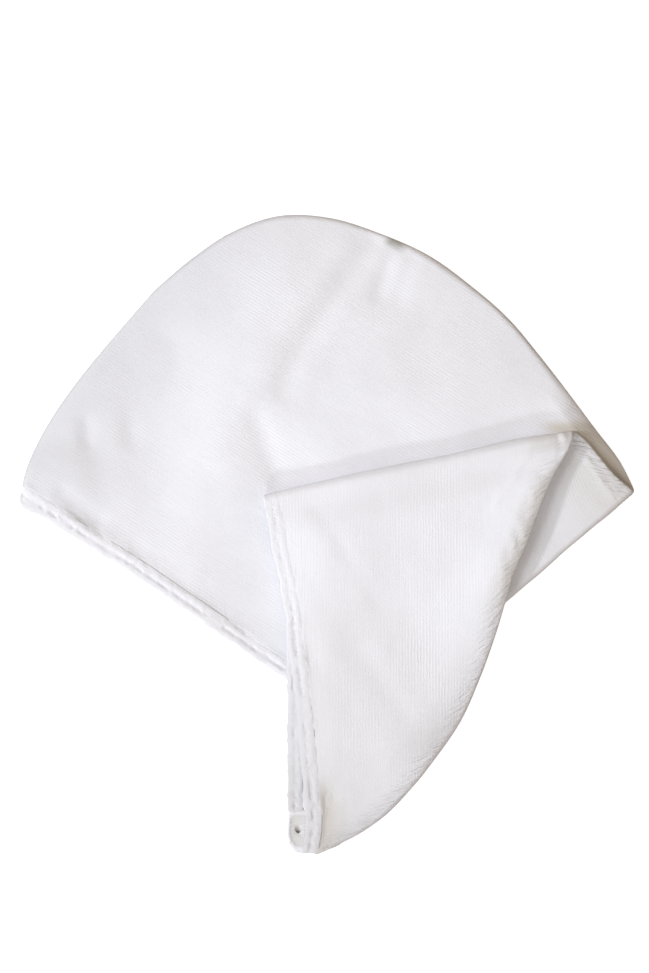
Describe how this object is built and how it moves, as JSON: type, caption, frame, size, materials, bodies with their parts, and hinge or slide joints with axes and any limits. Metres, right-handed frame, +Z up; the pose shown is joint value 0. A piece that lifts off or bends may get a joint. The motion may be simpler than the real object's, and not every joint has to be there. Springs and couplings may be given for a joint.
{
  "type": "hair towel",
  "caption": "Soft hooded hair towel with a long tapering tail, a gathered elastic opening edge and a tip loop, lying flat with its tail folded up and back down over the hood.",
  "frame": {"origin": "middle of the folded towel's footprint, on the surface it lies on", "axes": "+Z up out of the surface, +X towards the folded tail's side, +Y towards the crown of the hood"},
  "size_m": [0.3856, 0.4002, 0.0235],
  "materials": {
    "cloth": "ribbed short-napped microfiber",
    "hem": "gathered stitched microfiber",
    "loop": "elastic cord",
    "button": "smooth"
  },
  "bodies": {
    "root": {"front_panel": "cloth", "back_panel": "cloth", "front_rim": "hem", "back_rim": "hem", "fastening_loop": "loop", "button": "button"}
  },
  "joints": []
}
